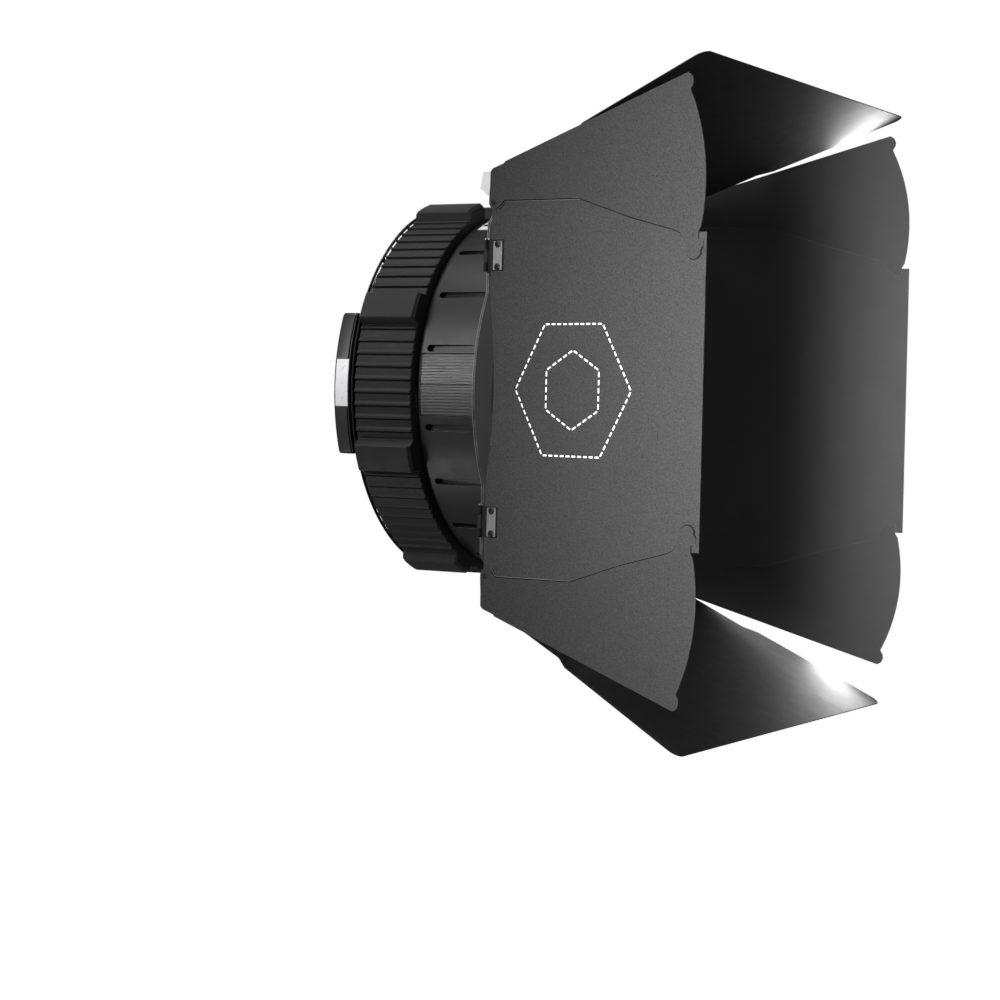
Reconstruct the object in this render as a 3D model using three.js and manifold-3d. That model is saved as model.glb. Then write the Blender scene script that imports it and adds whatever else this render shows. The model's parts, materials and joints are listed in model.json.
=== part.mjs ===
// Fresnel front housing with an eight-leaf barn door set.
// Millimetres, +Z up. The optical axis is Y: light leaves towards -Y, and the lamp is behind +Y.
// The origin is the centre of the rear mounting face. Left is -X, right is +X.
import * as THREE from 'three';
import { mergeVertices } from 'three/addons/utils/BufferGeometryUtils.js';
import Module from 'manifold-3d';

const wasm = await Module();
wasm.setup();

// ---------------------------------------------------------------- driving dimensions
const GAP = 0.3;                 // running or resting gap between touching pieces
const ROUND = 60;                // facets round a visible cylinder
const INNER_ROUND = 36;          // facets round a hidden cylinder

// stations along the optical axis
const MOUNT_BACK = 0;
const MOUNT_FRONT = -8;
const GRIP_BACK = -44.6;
const GRIP_FRONT = -121.9;
const DRUM_BACK = -124;
const DRUM_FRONT = -210;
const PLATE_BACK = -213.5;       // rear face of the door frame plate
const PLATE_FRONT = -216;
const HINGE_Y = -225;            // all four hinge axes lie in this plane

// radii
const MOUNT_BORE = 66;
const MOUNT_RADIUS = 112;
const HOUSING_RADIUS = 206;
const SPIGOT_RADIUS = 202.4;     // rear bearing of the cam ring, and of the turning frame
const CAM_INNER = 203.2;
const CAM_OUTER = 208;
const GRIP_INNER = 208.4;
const GRIP_RADIUS = 228;         // crest of the ridges
const LUG_RADIUS = 238.2;
const HOOP_RADIUS = 228;
const HOOP_RISE = 1.2;           // the hoop sits a little above the optical axis
const DRUM_RADIUS = 217;
const DRUM_INNER = 212;
const LIGHT_RADIUS = 190;        // clear aperture and lens radius

// focus drive
const FOCUS_TURN = THREE.MathUtils.degToRad(60);
const FOCUS_TRAVEL = 60;
const ROD_CIRCLE = 197;
const ROD_RADIUS = 3.2;
const CARRIAGE_FRONT = -173;
const CARRIAGE_LENGTH = 26;
const CARRIAGE_RADIUS = 202.2;
const FOLLOWER_Y = -160;
const FOLLOWER_RADIUS = 5;
const FOLLOWER_TOP = 206.8;      // stays clear of the grip ring that turns over it
const SLOT_HALF_WIDTH = 5.7;

// grip ring
const LUG_COUNT = 8;
const RIDGES_PER_SECTOR = 9;
const RIDGE_HEIGHT = 2.4;
const LUG_OFFSET = 1.6;          // degrees that the lugs sit off the quarter points

// barn doors
const SHEET = 1.5;
const SIDE_HINGE = 235;          // distance of the side hinge axes from the optical axis
const TOP_HINGE = 237.3;         // the same for the top and bottom hinge axes
const SIDE_FLARE = 13;
const TOP_FLARE = 22.2;
const BOTTOM_FLARE = 27.2;
const SIDE_LENGTH = 315.6;
const SIDE_HALF_HEIGHT = 168.2;
const TOP_LENGTH = 322.3;
const TOP_HALF_WIDTH = 301.7;
const CORNER_RADIUS = 12;
const HINGE_SPOT = 151;          // hinge distance from the middle of a door
const BARREL_RADIUS = 3.4;
const PIN_RADIUS = 1.5;
const PIVOT = { a: 12.1, b: 212 };
const FRAME_HALF = 213.4;
const FRAME_CORNER = 190;
const FRAME_BULGE = 240;
const FRAME_BORE = 196;
const LATCH_PIVOT = { y: -208, z: 214.5 };

// ---------------------------------------------------------------- materials
const paint = (color, roughness, metalness = 0.3) =>
  new THREE.MeshStandardMaterial({ color, roughness, metalness });
const doorCoat = paint(0x3e3e40, 0.75);
const wingCoat = paint(0x38383a, 0.75);
const housingBlack = paint(0x2b2b2c, 0.5, 0.1);
const gripRubber = paint(0x1f1f20, 0.65, 0);
const darkSteel = paint(0x262628, 0.4, 0.8);
const hingeGrey = paint(0xb4b4b6, 0.4, 0.7);
const brightSteel = paint(0xc8c8cc, 0.25, 1);
const latchGrey = paint(0xd2d2d4, 0.55, 0);
const plateGrey = paint(0xbab8bc, 0.5, 0.2);
const lensGlass = paint(0xdfe8ee, 0.05, 0);

// ---------------------------------------------------------------- shape helpers
const degrees = THREE.MathUtils.degToRad;
const point = (x, y) => new THREE.Vector2(x, y);

function manifoldOf(geometry) {
  const plain = geometry.clone();
  plain.deleteAttribute('normal');
  plain.deleteAttribute('uv');
  const merged = mergeVertices(plain, 1e-4);
  return new wasm.Manifold(new wasm.Mesh({
    numProp: 3,
    vertProperties: new Float32Array(merged.attributes.position.array),
    triVerts: new Uint32Array(merged.index.array),
  }));
}

function geometryOf(manifold) {
  const mesh = manifold.getMesh();
  const geometry = new THREE.BufferGeometry();
  geometry.setAttribute('position', new THREE.BufferAttribute(mesh.vertProperties, 3));
  geometry.setIndex(new THREE.BufferAttribute(mesh.triVerts, 1));
  geometry.computeVertexNormals();
  return geometry;
}

function join(base, ...others) {
  return geometryOf(others.reduce((sum, piece) => sum.add(manifoldOf(piece)), manifoldOf(base)));
}

function cut(base, ...tools) {
  return geometryOf(tools.reduce((rest, tool) => rest.subtract(manifoldOf(tool)), manifoldOf(base)));
}

// A ring about Y. The profile lists [radius, y] up the outer wall, then down the inner wall.
function ring(profile, facets = INNER_ROUND) {
  const closed = [...profile, profile[0]].map(([radius, y]) => point(radius, y));
  return new THREE.LatheGeometry(closed, facets);
}

function tube(inner, outer, y0, y1, facets = INNER_ROUND) {
  return ring([[outer, y0], [outer, y1], [inner, y1], [inner, y0]], facets);
}

// A plate whose outline lies in X and Z, reaching from yBack forward to yFront.
function plateAcross(shape, yBack, yFront) {
  const options = { depth: yBack - yFront, bevelEnabled: false };
  return new THREE.ExtrudeGeometry(shape, options).rotateX(Math.PI / 2).translate(0, yBack, 0);
}

// A flat sheet in local a, b with its inner face at n0.
function sheet(shape, n0, thickness) {
  const options = { depth: thickness, bevelEnabled: false };
  return new THREE.ExtrudeGeometry(shape, options).translate(0, 0, n0);
}

function box(x0, x1, y0, y1, z0, z1) {
  return new THREE.BoxGeometry(x1 - x0, y1 - y0, z1 - z0)
    .translate((x0 + x1) / 2, (y0 + y1) / 2, (z0 + z1) / 2);
}

// A cylinder or stepped pin along Y from [radius, y] steps, closed on the axis at both ends.
function turned(steps, facets = 10) {
  const first = point(0, steps[0][1]);
  const last = point(0, steps[steps.length - 1][1]);
  return new THREE.LatheGeometry([first, ...steps.map(([r, y]) => point(r, y)), last], facets);
}

// Points of the circle through three points, from the first to the last.
function arcThrough(first, middle, last, steps) {
  const d = 2 * (first.x * (middle.y - last.y) + middle.x * (last.y - first.y)
    + last.x * (first.y - middle.y));
  const squares = [first, middle, last].map((p) => p.lengthSq());
  const centre = point(
    (squares[0] * (middle.y - last.y) + squares[1] * (last.y - first.y)
      + squares[2] * (first.y - middle.y)) / d,
    (squares[0] * (last.x - middle.x) + squares[1] * (first.x - last.x)
      + squares[2] * (middle.x - first.x)) / d,
  );
  const radius = centre.distanceTo(first);
  const start = Math.atan2(first.y - centre.y, first.x - centre.x);
  const end = Math.atan2(last.y - centre.y, last.x - centre.x);
  const sweep = THREE.MathUtils.euclideanModulo(end - start + Math.PI, 2 * Math.PI) - Math.PI;
  return arc(centre, radius, start, start + sweep, steps);
}

function arc(centre, radius, start, end, steps) {
  return Array.from({ length: steps + 1 }, (_, i) => {
    const angle = start + ((end - start) * i) / steps;
    return point(centre.x + radius * Math.cos(angle), centre.y + radius * Math.sin(angle));
  });
}

const circle = (centre, radius, steps) => arc(centre, radius, 0, 2 * Math.PI, steps).slice(0, -1);

// A door outline: its upper half from the rear edge forward, the mirror image, and the rear edge.
function mirrored(upper, rearEdge) {
  const lower = upper.map((p) => point(p.x, -p.y)).reverse();
  return new THREE.Shape([...lower, ...rearEdge, ...upper].reverse());
}

// A sector of a ring in X and Z about the -X direction, angles in degrees above the left side.
function sectorShape(inner, outer, from, to, steps) {
  const onLeft = (angle) => Math.PI - degrees(angle);
  const origin = point(0, 0);
  return new THREE.Shape([
    ...arc(origin, outer, onLeft(from), onLeft(to), steps),
    ...arc(origin, inner, onLeft(to), onLeft(from), steps),
  ]);
}

// ---------------------------------------------------------------- scene graph
const model = new THREE.Group();

function add(name, geometry, material, parent = model) {
  const mesh = new THREE.Mesh(geometry, material);
  mesh.name = name;
  parent.add(mesh);
  return mesh;
}

// ---------------------------------------------------------------- rear of the housing
function buildRear() {
  const mountRing = ring([
    [MOUNT_RADIUS, MOUNT_FRONT - 0.7], [MOUNT_RADIUS, MOUNT_BACK],
    [MOUNT_BORE + 12, MOUNT_BACK], [MOUNT_BORE, -3], [MOUNT_BORE, MOUNT_FRONT - 0.7],
  ]);
  add('rear_mount_ring', mountRing, brightSteel);

  const lockRing = tube(MOUNT_RADIUS + 0.6, 122, -8.7, -3);
  const lockLever = box(-170, -118, -8.7, -4, -9, 9).rotateY(degrees(-40));
  add('mount_lock_ring', join(lockRing, lockLever), gripRubber);

  const housing = ring([
    [SPIGOT_RADIUS, -60], [SPIGOT_RADIUS, GRIP_BACK + 0.4], [HOUSING_RADIUS, GRIP_BACK + 0.4],
    [HOUSING_RADIUS, -26], [190, -17], [150, -9], [95, -9],
    [95, -13], [148, -13], [186, -21], [SPIGOT_RADIUS - 2, -30], [SPIGOT_RADIUS - 2, -60],
  ]);
  add('rear_housing', housing, housingBlack);

  const hoop = tube(HOOP_RADIUS - 2, HOOP_RADIUS, -42.5, -40, ROUND).translate(0, 0, HOOP_RISE);
  const hub = tube(HOUSING_RADIUS + GAP, HOUSING_RADIUS + 3, -42.5, -40);
  const spokes = [25, 95, 165, 235, 305].map((angle) =>
    box(HOUSING_RADIUS + 1.5, HOOP_RADIUS - 1, -42.3, -40.2, -3, 3).rotateY(degrees(angle)));
  add('rear_hoop', join(hoop, hub, ...spokes), housingBlack);

  const collar = plateAcross(sectorShape(HOUSING_RADIUS + GAP, 231.2, -21, 23, 14), -18, -38.5);
  const seat = plateAcross(sectorShape(230.1, 235, -6.2, 8.2, 5), -20.6, -38.4);
  add('index_collar', cut(collar, seat), housingBlack);
  const indexPlate = plateAcross(sectorShape(230.4, 231.9, -5.9, 7.9, 5), -21, -38);
  add('index_plate', indexPlate, plateGrey);
}

// ---------------------------------------------------------------- drum with pockets and panels
const PANEL_ARC = { from: -8.6, to: 10.6 };
const PANEL_BACK = -129.5;
const PANEL_FRONT = -203;
const RIB_COUNT = 19;

const POCKET_HALF = 4.1;
const POCKET_DEPTH = 3.2;

// A round-ended axial pocket; angle 0 is the top and 90 the right side.
function drumPocket(angle) {
  const outline = new THREE.Shape([
    ...arc(point(0, -139.1), POCKET_HALF, 0, Math.PI, 5),
    ...arc(point(0, -193.9), POCKET_HALF, Math.PI, 2 * Math.PI, 5),
  ]);
  return new THREE.ExtrudeGeometry(outline, { depth: 8, bevelEnabled: false })
    .translate(0, 0, DRUM_RADIUS - POCKET_DEPTH).rotateY(degrees(angle));
}

function ribbedPanel() {
  const points = [];
  for (let rib = 0; rib < RIB_COUNT; rib += 1) {
    for (const [share, radius] of [[0, 216.6], [0.25, 217.6], [0.7, 217.6], [0.95, 216.6]]) {
      const angle = PANEL_ARC.from + ((rib + share) * (PANEL_ARC.to - PANEL_ARC.from)) / RIB_COUNT;
      const turn = Math.PI - degrees(angle);
      points.push(point(radius * Math.cos(turn), radius * Math.sin(turn)));
    }
  }
  const inner = arc(point(0, 0), 214.6, Math.PI - degrees(PANEL_ARC.to - 0.1),
    Math.PI - degrees(PANEL_ARC.from), 6);
  return plateAcross(new THREE.Shape([...points, ...inner]), PANEL_BACK, PANEL_FRONT);
}

function buildDrum() {
  const shell = ring([
    [DRUM_RADIUS - 0.6, DRUM_FRONT], [DRUM_RADIUS, DRUM_FRONT + 0.6],
    [DRUM_RADIUS, DRUM_BACK - 6], [DRUM_RADIUS - 3.5, DRUM_BACK],
    [DRUM_INNER, DRUM_BACK], [DRUM_INNER, DRUM_FRONT],
  ], ROUND);
  const pockets = [];
  for (const side of [-90, 90]) {
    for (const offset of [12.3, 30.3, 48.3, 66.3]) {
      pockets.push(drumPocket(side - offset), drumPocket(side + offset));
    }
  }
  const panelSeat = plateAcross(
    sectorShape(214.2, 222, PANEL_ARC.from - 0.2, PANEL_ARC.to + 0.2, 8),
    PANEL_BACK + GAP, PANEL_FRONT - GAP);
  const oppositeSeat = panelSeat.clone().rotateY(Math.PI);
  add('drum', cut(shell, panelSeat, oppositeSeat, ...pockets), housingBlack);
  add('ribbed_panel_left', ribbedPanel(), housingBlack);
  add('ribbed_panel_right', ribbedPanel(), housingBlack).rotation.y = Math.PI;

  const bezel = ring([
    [DRUM_INNER - GAP, -209.5], [DRUM_INNER - GAP, -179], [LIGHT_RADIUS, -179],
    [LIGHT_RADIUS, -185], [CAM_INNER, -185], [CAM_INNER, -209.5],
  ]);
  const rodHoles = rodAngles().map((angle) => rodCutter(angle, ROD_RADIUS + 0.4, -190, -170));
  add('front_bezel', cut(bezel, ...rodHoles), housingBlack);
}

// ---------------------------------------------------------------- focus drive and lens
// Angles round the optical axis are counted from +Z towards +X.
const rodAngles = () => [0, 120, 240];
const followerAngles = () => [60, 180, 300];

function rodCutter(angle, radius, y0, y1) {
  return turned([[radius, y0], [radius, y1]]).translate(0, 0, ROD_CIRCLE).rotateY(degrees(angle));
}

// The band that a follower sweeps in the turning cam ring.
function camSlot(angle) {
  const steps = 10;
  const positions = [];
  const margin = 7 / FOCUS_TRAVEL;
  const course = point(-CAM_OUTER * FOCUS_TURN, FOCUS_TRAVEL).normalize();
  for (let i = 0; i <= steps; i += 1) {
    const share = -margin + ((1 + 2 * margin) * i) / steps;
    const turn = degrees(angle) - FOCUS_TURN * share;
    const y = FOLLOWER_Y + FOCUS_TRAVEL * share;
    for (const [radius, side] of [[200, -1], [212, -1], [212, 1], [200, 1]]) {
      const bend = turn + (side * SLOT_HALF_WIDTH * course.y) / CAM_OUTER;
      const offset = -side * SLOT_HALF_WIDTH * course.x;
      positions.push(radius * Math.sin(bend), y + offset, radius * Math.cos(bend));
    }
  }
  const faces = [0, 2, 1, 0, 3, 2];
  for (let i = 0; i < steps; i += 1) {
    for (let corner = 0; corner < 4; corner += 1) {
      const next = (corner + 1) % 4;
      const here = 4 * i;
      const there = here + 4;
      faces.push(here + corner, there + next, there + corner);
      faces.push(here + corner, here + next, there + next);
    }
  }
  const end = 4 * steps;
  faces.push(end, end + 1, end + 2, end, end + 2, end + 3);
  const band = new THREE.BufferGeometry();
  band.setAttribute('position', new THREE.Float32BufferAttribute(positions, 3));
  band.setIndex(faces);
  return band;
}

function buildFocusDrive() {
  add('grip_ring', gripRing(), gripRubber);
  const camTube = tube(CAM_INNER, CAM_OUTER, -177, GRIP_BACK);
  add('cam_ring', cut(camTube, ...followerAngles().map(camSlot)), darkSteel);

  const carriageBack = CARRIAGE_FRONT + CARRIAGE_LENGTH;
  const carriage = ring([
    [CARRIAGE_RADIUS, CARRIAGE_FRONT], [CARRIAGE_RADIUS, carriageBack],
    [180, carriageBack], [180, -158.6], [LIGHT_RADIUS + 1, -158.6],
    [LIGHT_RADIUS + 1, CARRIAGE_FRONT],
  ]);
  const notches = rodAngles().map((angle) =>
    box(-3.9, 3.9, -180, -140, 193.2, 206).rotateY(degrees(angle)));
  add('lens_carriage', cut(carriage, ...notches), housingBlack);

  add('fresnel_lens', fresnelLens(), lensGlass);
  add('lens_retainer', tube(183, 192.8, -175.6, CARRIAGE_FRONT - GAP), housingBlack);

  rodAngles().forEach((angle, i) => {
    add(`guide_rod_${i + 1}`, rodCutter(angle, ROD_RADIUS, -184.7, -30.6), brightSteel);
  });
  followerAngles().forEach((angle, i) => {
    const pin = turned([[FOLLOWER_RADIUS, CARRIAGE_RADIUS + GAP], [FOLLOWER_RADIUS, FOLLOWER_TOP]])
      .rotateX(Math.PI / 2).translate(0, FOLLOWER_Y, 0).rotateY(degrees(angle));
    add(`cam_follower_${i + 1}`, pin, brightSteel);
  });
}

// A flat back, a bulged middle and stepped rings on the front face.
function fresnelLens() {
  const steps = [[14, -178.6], [28, -176], [40, -172]];
  for (let inner = 40; inner < 180; inner += 36) {
    steps.push([inner + 0.6, -174 - inner / 80], [inner + 36, -171.4]);
  }
  return turned([...steps, [LIGHT_RADIUS, -171], [LIGHT_RADIUS, -159]], INNER_ROUND);
}

function gripRing() {
  const points = [];
  const sector = 360 / LUG_COUNT;
  const lugHalf = 5.2;
  const lugTopHalf = 3.6;
  const pitch = (sector - 2 * lugHalf) / RIDGES_PER_SECTOR;
  const push = (radius, angle) => {
    points.push(point(radius * Math.cos(degrees(angle)), radius * Math.sin(degrees(angle))));
  };
  for (let lug = 0; lug < LUG_COUNT; lug += 1) {
    const centre = LUG_OFFSET + sector * (lug + 0.5);
    push(GRIP_RADIUS - RIDGE_HEIGHT, centre - lugHalf);
    push(LUG_RADIUS, centre - lugTopHalf);
    push(LUG_RADIUS * 1.0012, centre);
    push(LUG_RADIUS, centre + lugTopHalf);
    push(GRIP_RADIUS - RIDGE_HEIGHT, centre + lugHalf);
    for (let ridge = 0; ridge < RIDGES_PER_SECTOR; ridge += 1) {
      const start = centre + lugHalf + pitch * ridge;
      push(GRIP_RADIUS - RIDGE_HEIGHT, start + pitch * 0.58);
      push(GRIP_RADIUS, start + pitch * 0.63);
      push(GRIP_RADIUS, start + pitch * 0.85);
      push(GRIP_RADIUS - RIDGE_HEIGHT, start + pitch * 0.92);
    }
  }
  const outline = new THREE.Shape(points.map((p) => point(-p.x, p.y)));
  outline.holes.push(new THREE.Path(circle(point(0, 0), GRIP_INNER, INNER_ROUND)));
  return plateAcross(outline, GRIP_BACK, GRIP_FRONT);
}

// ---------------------------------------------------------------- door frame and latch
function framePlate() {
  const reach = Math.sqrt(FRAME_BULGE ** 2 - FRAME_HALF ** 2);
  const half = Math.atan2(reach, FRAME_HALF);
  const outline = [];
  for (let side = 0; side < 4; side += 1) {
    const turn = (side * Math.PI) / 2;
    outline.push(...arc(point(0, 0), FRAME_BULGE, turn - half, turn + half, 8));
    for (const [x, z] of [[FRAME_HALF, FRAME_CORNER], [FRAME_CORNER, FRAME_HALF]]) {
      outline.push(point(x, z).rotateAround(point(0, 0), turn));
    }
  }
  const shape = new THREE.Shape(outline);
  shape.holes.push(new THREE.Path(circle(point(0, 0), FRAME_BORE, INNER_ROUND)));
  return plateAcross(shape, PLATE_BACK, PLATE_FRONT);
}

function buildFrame() {
  const spigot = tube(FRAME_BORE + 1.4, SPIGOT_RADIUS, PLATE_BACK - 0.5, -201);
  const lip = tube(FRAME_BORE, FRAME_BORE + 4, PLATE_FRONT - 3, PLATE_BACK - 1);
  add('door_frame', join(framePlate(), spigot, lip), housingBlack);

  const foot = box(-200, -150, PLATE_BACK + GAP, -201, 196, 208);
  const cheeks = [-189, -166].map((x) => box(x, x + 5, PLATE_BACK + GAP, -203, 207, 220));
  const pin = latchPin(2).translate(-187, 0, 0);
  add('latch_bracket', join(foot, ...cheeks, pin), darkSteel);

  const head = new THREE.Shape([
    point(-188, 233), point(-202, 222), point(-212, 222), point(-212, 248), point(-209, 252),
    point(-192, 252),
  ]);
  const headBlock = new THREE.ExtrudeGeometry(head, { depth: 30, bevelEnabled: false })
    .rotateX(Math.PI / 2).rotateZ(Math.PI / 2).translate(-190, 0, 0);
  const tongue = box(-183, -167, -211.6, -203.5, 211, 223);
  add('latch_lever', cut(join(headBlock, tongue), latchPin(2.4).translate(-190, 0, 0)), latchGrey);
}

function latchPin(radius) {
  return turned([[radius, -23], [radius, 0]], 16).rotateZ(Math.PI / 2)
    .translate(0, LATCH_PIVOT.y, LATCH_PIVOT.z);
}

// ---------------------------------------------------------------- hinges
// Hinge parts use local axes: a forward from the hinge, b along it, n outwards.
function along(b0, from, to, radius) {
  return turned([[radius, b0 + from], [radius, b0 + to]]);
}

function hingeBracket(b0, hingeDistance) {
  const faceA = HINGE_Y - PLATE_FRONT + GAP;
  const footEdge = FRAME_HALF - hingeDistance;
  const foot = box(faceA, faceA + 2.5, b0 - 18, b0 + 18, footEdge - 26, footEdge);
  const outline = [[faceA, footEdge - 6], [faceA, footEdge], [-2.4, 2], [2.4, -2]];
  const cheek = new THREE.Shape(outline.map(([a, n]) => point(a, -n)));
  const pieces = [];
  for (const [from, to] of [[-18, -7.5], [7.5, 18]]) {
    const plate = new THREE.ExtrudeGeometry(cheek, { depth: to - from, bevelEnabled: false })
      .rotateX(-Math.PI / 2).translate(0, b0 + from, 0);
    pieces.push(plate, along(b0, from, to, BARREL_RADIUS));
  }
  return cut(join(foot, ...pieces), along(b0, -30, 30, PIN_RADIUS + 0.35));
}

function hingeLeaf(b0) {
  const knuckle = along(b0, -7.2, 7.2, BARREL_RADIUS);
  const tongue = box(1, 8, b0 - 7.2, b0 + 7.2, -1.8, -GAP);
  const plate = box(5.4, 37, b0 - 23, b0 + 23, -1.8, -GAP);
  const pad = box(11, 26, b0 - 16.8, b0 + 16.8, -1, 0.7);
  return cut(join(knuckle, tongue, plate, pad), along(b0, -30, 30, PIN_RADIUS + 0.35));
}

function hingePin(b0) {
  const shank = [[PIN_RADIUS, b0 - 18.5], [PIN_RADIUS, b0 + 18.4]];
  return turned([...shank, [2.6, b0 + 18.4], [2.6, b0 + 20]], 8);
}

// ---------------------------------------------------------------- door sheets
const rearCut = (rear) => arcThrough(point(rear + 0.5, -100), point(rear + 8.8, 0), point(rear + 0.5, 100), 8);
const roundHole = (a, b, radius) => new THREE.Path(circle(point(a, b), radius, 10));

// The notch in the rear edge that the hinge pad stands in.
function hingeNotch(rear) {
  const floor = 28.5;
  return [
    point(rear, HINGE_SPOT - 18), point(floor, HINGE_SPOT - 18),
    point(floor, HINGE_SPOT + 18), point(rear, HINGE_SPOT + 18),
  ];
}

function sideDoorShape() {
  const rear = 8.8;
  const upper = [
    point(rear, 128), ...hingeNotch(rear), point(rear, 216), point(13, 221), point(139, 218.5),
    point(212, 196),
    point(279, 178), point(297, 159), point(306.4, 158.5),
    point(306.4, SIDE_HALF_HEIGHT), point(SIDE_LENGTH, SIDE_HALF_HEIGHT),
  ];
  const shape = mirrored(upper, rearCut(rear));
  for (const side of [-1, 1]) {
    shape.holes.push(roundHole(PIVOT.a, side * PIVOT.b, 3.1));
    const crescent = [[19.5, 202.6], [22.5, 203.4], [30, 211.4], [28, 211.8]];
    shape.holes.push(new THREE.Path(crescent.map(([a, b]) => point(a, side * b))));
  }
  return shape;
}

// side is 1 for the wing at +b and -1 for its mirror image.
function wingShape(side) {
  const ear = arc(point(PIVOT.a + 0.8, PIVOT.b), 8, degrees(170), degrees(310), 7);
  const lobe = arc(point(300.4, 150.4), 10.2, degrees(172), degrees(335), 9);
  const front = arcThrough(point(309.3, 174.6), point(314.3, 218), point(291, 319), 10);
  const outline = [
    ...ear, point(20.5, 206.4), point(25.5, 211.6), point(29, 213.2),
    point(139.4, 211), point(210.3, 188.4), point(274, 172), point(281, 169), point(286.5, 163),
    point(289.4, 156), ...lobe,
    point(308.8, 149.6), point(312.4, 153.4), point(312.4, 159), point(306.1, 160.6),
    point(306.1, 169.4), ...front,
    point(294.2, 324.5), point(294.6, 329), point(292.4, 334), point(287.5, 337.1),
    point(28.5, 257), point(26, 254.7), point(10, 250), point(6.3, 246.5), point(6.1, 232),
  ];
  const shape = new THREE.Shape(outline.map((p) => point(p.x, side * p.y)));
  shape.holes.push(roundHole(PIVOT.a, side * PIVOT.b, 3.1));
  return shape;
}

// Behind the step the sheet stays inside the side wings, and in front of it passes over them.
function topDoorShape() {
  const step = [point(128, 249.3), point(146, 265.5)];
  const slope = (TOP_HALF_WIDTH - step[1].y) / (TOP_LENGTH - step[1].x);
  const cornerA = TOP_LENGTH - CORNER_RADIUS;
  const cornerB = TOP_HALF_WIDTH - slope * CORNER_RADIUS - CORNER_RADIUS * Math.hypot(1, slope);
  const corner = arc(point(cornerA, cornerB), CORNER_RADIUS, Math.PI / 2 + Math.atan(slope), 0, 6);
  const rear = 6;
  const rearEnd = [point(rear, 222), point(9, 235)];
  const upper = [point(rear, 128), ...hingeNotch(rear), ...rearEnd, ...step, ...corner];
  return mirrored(upper, rearCut(rear));
}

// ---------------------------------------------------------------- door assemblies
// Axes of a door hung on the left and swung out by its flare: a, b and n as columns.
function hingeGroup(parent, distance, flare) {
  const lean = degrees(flare);
  const group = new THREE.Group();
  const basis = new THREE.Matrix4().makeBasis(
    new THREE.Vector3(-Math.sin(lean), -Math.cos(lean), 0),
    new THREE.Vector3(0, 0, 1),
    new THREE.Vector3(-Math.cos(lean), Math.sin(lean), 0),
  );
  group.quaternion.setFromRotationMatrix(basis);
  group.position.set(-distance, HINGE_Y, 0);
  parent.add(group);
  return group;
}

// ends names the two ends of the hinge line, first the one at -b and then the one at +b.
function buildDoor({ name, turn, distance, flare, shape, ends, winged }) {
  const quarter = new THREE.Group();
  quarter.rotation.y = degrees(turn);
  model.add(quarter);
  const fixed = hingeGroup(quarter, distance, 0);
  const swung = hingeGroup(quarter, distance, flare);

  add(`${name}_door`, sheet(shape, 0, SHEET), doorCoat, swung);
  ends.forEach((end, i) => {
    const side = i === 0 ? -1 : 1;
    const b0 = side * HINGE_SPOT;
    add(`${name}_door_hinge_bracket_${end}`, hingeBracket(b0, distance), darkSteel, fixed);
    add(`${name}_door_hinge_leaf_${end}`, hingeLeaf(b0), hingeGrey, swung);
    add(`${name}_door_hinge_pin_${end}`, hingePin(b0), brightSteel, fixed);
    if (winged) {
      add(`${name}_wing_${end}`, sheet(wingShape(side), SHEET + GAP, SHEET), wingCoat, swung);
      add(`${name}_wing_rivet_${end}`, wingRivet(side), darkSteel, swung);
    }
  });
}

function wingRivet(side) {
  const steps = [[5, -1.6], [5, -GAP], [2.6, -GAP], [2.6, 3.6], [4, 3.6], [3, 4.7]];
  return turned(steps).rotateX(Math.PI / 2).translate(PIVOT.a, side * PIVOT.b, 0);
}

function buildDoors() {
  const side = { distance: SIDE_HINGE, flare: SIDE_FLARE, winged: true };
  const level = { distance: TOP_HINGE, winged: false };
  buildDoor({ ...side, name: 'left', turn: 0, shape: sideDoorShape(), ends: ['lower', 'upper'] });
  buildDoor({ ...side, name: 'right', turn: 180, shape: sideDoorShape(), ends: ['upper', 'lower'] });
  buildDoor({
    ...level, name: 'top', turn: 90, flare: TOP_FLARE, shape: topDoorShape(), ends: ['left', 'right'],
  });
  buildDoor({
    ...level, name: 'bottom', turn: 270, flare: BOTTOM_FLARE, shape: topDoorShape(),
    ends: ['right', 'left'],
  });
}

buildRear();
buildDrum();
buildFocusDrive();
buildFrame();
buildDoors();

export default model;
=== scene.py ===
"""Looks of the Fresnel barn door attachment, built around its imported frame."""
import json
import math

import bmesh
import bpy
from mathutils import Matrix, Vector

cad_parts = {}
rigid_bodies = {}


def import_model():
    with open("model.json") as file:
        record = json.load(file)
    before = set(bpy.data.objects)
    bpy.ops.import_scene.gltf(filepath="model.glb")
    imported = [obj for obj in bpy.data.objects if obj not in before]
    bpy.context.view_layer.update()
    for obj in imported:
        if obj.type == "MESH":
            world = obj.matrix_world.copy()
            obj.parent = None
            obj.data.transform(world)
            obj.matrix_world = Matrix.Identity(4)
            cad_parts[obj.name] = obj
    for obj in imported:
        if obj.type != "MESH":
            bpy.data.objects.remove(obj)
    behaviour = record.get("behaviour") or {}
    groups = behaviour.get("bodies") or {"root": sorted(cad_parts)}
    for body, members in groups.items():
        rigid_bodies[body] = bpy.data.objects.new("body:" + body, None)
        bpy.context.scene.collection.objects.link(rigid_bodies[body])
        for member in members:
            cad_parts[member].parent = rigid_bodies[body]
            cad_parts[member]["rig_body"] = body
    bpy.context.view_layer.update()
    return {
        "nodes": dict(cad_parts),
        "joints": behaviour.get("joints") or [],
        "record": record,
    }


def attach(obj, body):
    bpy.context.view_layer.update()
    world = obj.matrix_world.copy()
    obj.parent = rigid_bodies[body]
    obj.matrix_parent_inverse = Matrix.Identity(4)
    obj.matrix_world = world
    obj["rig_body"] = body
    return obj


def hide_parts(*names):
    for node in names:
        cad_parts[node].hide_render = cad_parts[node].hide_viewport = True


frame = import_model()
nodes = frame["nodes"]
joints = {joint["name"]: joint for joint in frame["joints"]}

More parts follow.
